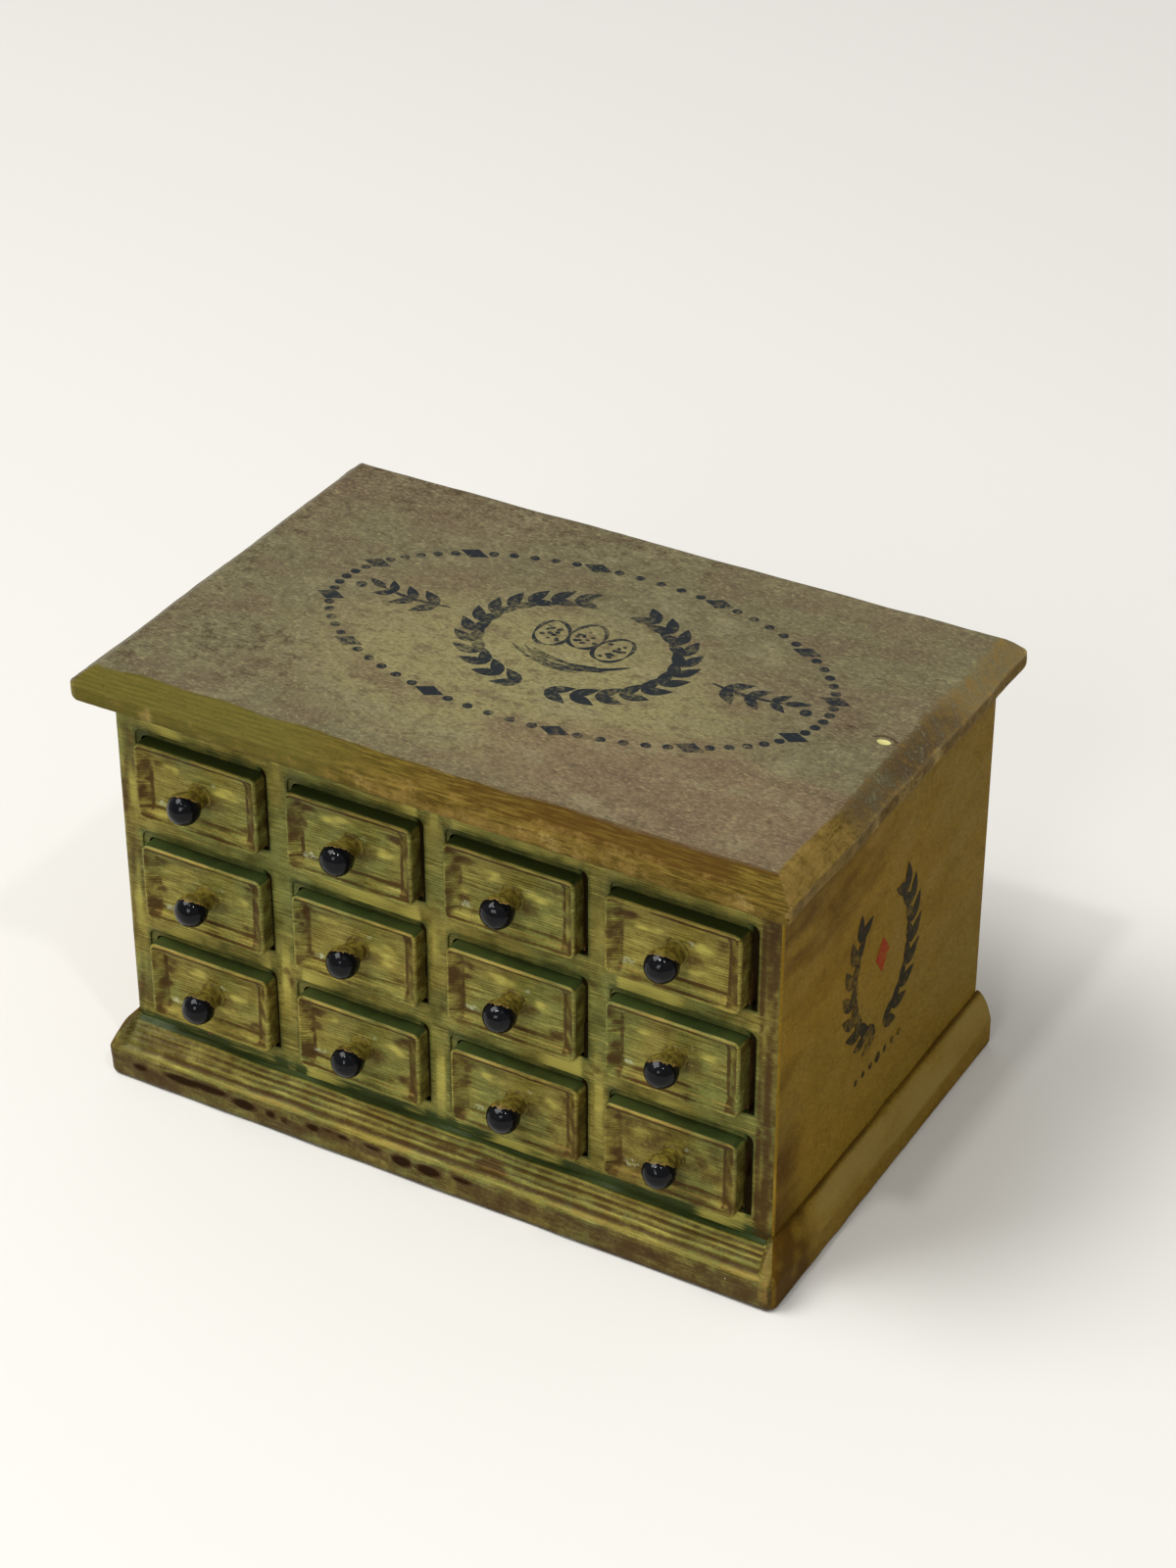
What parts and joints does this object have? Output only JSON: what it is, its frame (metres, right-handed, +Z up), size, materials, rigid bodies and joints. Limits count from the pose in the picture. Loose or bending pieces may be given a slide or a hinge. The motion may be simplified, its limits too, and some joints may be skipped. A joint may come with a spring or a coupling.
{
  "type": "miniature chest of small drawers",
  "caption": "Low dolls'-house chest with a grid of small pull-out drawers, ball knobs, a bevelled overhanging top and a stepped plinth, in distressed olive paint.",
  "frame": {"origin": "on the floor, under the middle of the whole chest's bounding box, knobs included", "axes": "+X to the right seen from the front, +Y to the back, +Z up; drawers pull out along -Y"},
  "size_m": [0.0534, 0.0362, 0.0333],
  "materials": {
    "top_paint": "satin taupe paint, mottled, rubbed at the edges",
    "side_paint": "satin olive-brown paint with a brown wash",
    "front_paint": "satin olive paint, dark in the recesses, pale on the edges",
    "drawer_paint": "satin olive paint with yellow dry-brushing and a brown wash",
    "bare_wood": "bare close-grained wood",
    "knob_paint": "gloss black paint over olive"
  },
  "bodies": {
    "cabinet": {"top_board": "top_paint", "frieze_board": "front_paint", "bottom_board": "front_paint", "kick_board": "bare_wood", "left_side": "side_paint", "right_side": "side_paint", "back_panel": "side_paint", "plinth_front": "front_paint", "plinth_left": "side_paint", "plinth_right": "side_paint", "shelf_1": "front_paint", "shelf_2": "front_paint", "partition_1": "front_paint", "partition_2": "front_paint", "partition_3": "front_paint"},
    "drawer_r1c1": {"drawer_front_r1c1": "drawer_paint", "drawer_tray_r1c1": "bare_wood", "knob_r1c1": "knob_paint"},
    "drawer_r1c2": {"drawer_front_r1c2": "drawer_paint", "drawer_tray_r1c2": "bare_wood", "knob_r1c2": "knob_paint"},
    "drawer_r1c3": {"drawer_front_r1c3": "drawer_paint", "drawer_tray_r1c3": "bare_wood", "knob_r1c3": "knob_paint"},
    "drawer_r1c4": {"drawer_front_r1c4": "drawer_paint", "drawer_tray_r1c4": "bare_wood", "knob_r1c4": "knob_paint"},
    "drawer_r2c1": {"drawer_front_r2c1": "drawer_paint", "drawer_tray_r2c1": "bare_wood", "knob_r2c1": "knob_paint"},
    "drawer_r2c2": {"drawer_front_r2c2": "drawer_paint", "drawer_tray_r2c2": "bare_wood", "knob_r2c2": "knob_paint"},
    "drawer_r2c3": {"drawer_front_r2c3": "drawer_paint", "drawer_tray_r2c3": "bare_wood", "knob_r2c3": "knob_paint"},
    "drawer_r2c4": {"drawer_front_r2c4": "drawer_paint", "drawer_tray_r2c4": "bare_wood", "knob_r2c4": "knob_paint"},
    "drawer_r3c1": {"drawer_front_r3c1": "drawer_paint", "drawer_tray_r3c1": "bare_wood", "knob_r3c1": "knob_paint"},
    "drawer_r3c2": {"drawer_front_r3c2": "drawer_paint", "drawer_tray_r3c2": "bare_wood", "knob_r3c2": "knob_paint"},
    "drawer_r3c3": {"drawer_front_r3c3": "drawer_paint", "drawer_tray_r3c3": "bare_wood", "knob_r3c3": "knob_paint"},
    "drawer_r3c4": {"drawer_front_r3c4": "drawer_paint", "drawer_tray_r3c4": "bare_wood", "knob_r3c4": "knob_paint"}
  },
  "joints": [
    {"name": "slide_r1c1", "type": "slide", "parent": "cabinet", "child": "drawer_r1c1", "axis": [0, -1, 0], "range_m": [0, 0.022]},
    {"name": "slide_r1c2", "type": "slide", "parent": "cabinet", "child": "drawer_r1c2", "axis": [0, -1, 0], "range_m": [0, 0.022]},
    {"name": "slide_r1c3", "type": "slide", "parent": "cabinet", "child": "drawer_r1c3", "axis": [0, -1, 0], "range_m": [0, 0.022]},
    {"name": "slide_r1c4", "type": "slide", "parent": "cabinet", "child": "drawer_r1c4", "axis": [0, -1, 0], "range_m": [0, 0.022]},
    {"name": "slide_r2c1", "type": "slide", "parent": "cabinet", "child": "drawer_r2c1", "axis": [0, -1, 0], "range_m": [0, 0.022]},
    {"name": "slide_r2c2", "type": "slide", "parent": "cabinet", "child": "drawer_r2c2", "axis": [0, -1, 0], "range_m": [0, 0.022]},
    {"name": "slide_r2c3", "type": "slide", "parent": "cabinet", "child": "drawer_r2c3", "axis": [0, -1, 0], "range_m": [0, 0.022]},
    {"name": "slide_r2c4", "type": "slide", "parent": "cabinet", "child": "drawer_r2c4", "axis": [0, -1, 0], "range_m": [0, 0.022]},
    {"name": "slide_r3c1", "type": "slide", "parent": "cabinet", "child": "drawer_r3c1", "axis": [0, -1, 0], "range_m": [0, 0.022]},
    {"name": "slide_r3c2", "type": "slide", "parent": "cabinet", "child": "drawer_r3c2", "axis": [0, -1, 0], "range_m": [0, 0.022]},
    {"name": "slide_r3c3", "type": "slide", "parent": "cabinet", "child": "drawer_r3c3", "axis": [0, -1, 0], "range_m": [0, 0.022]},
    {"name": "slide_r3c4", "type": "slide", "parent": "cabinet", "child": "drawer_r3c4", "axis": [0, -1, 0], "range_m": [0, 0.022]}
  ]
}
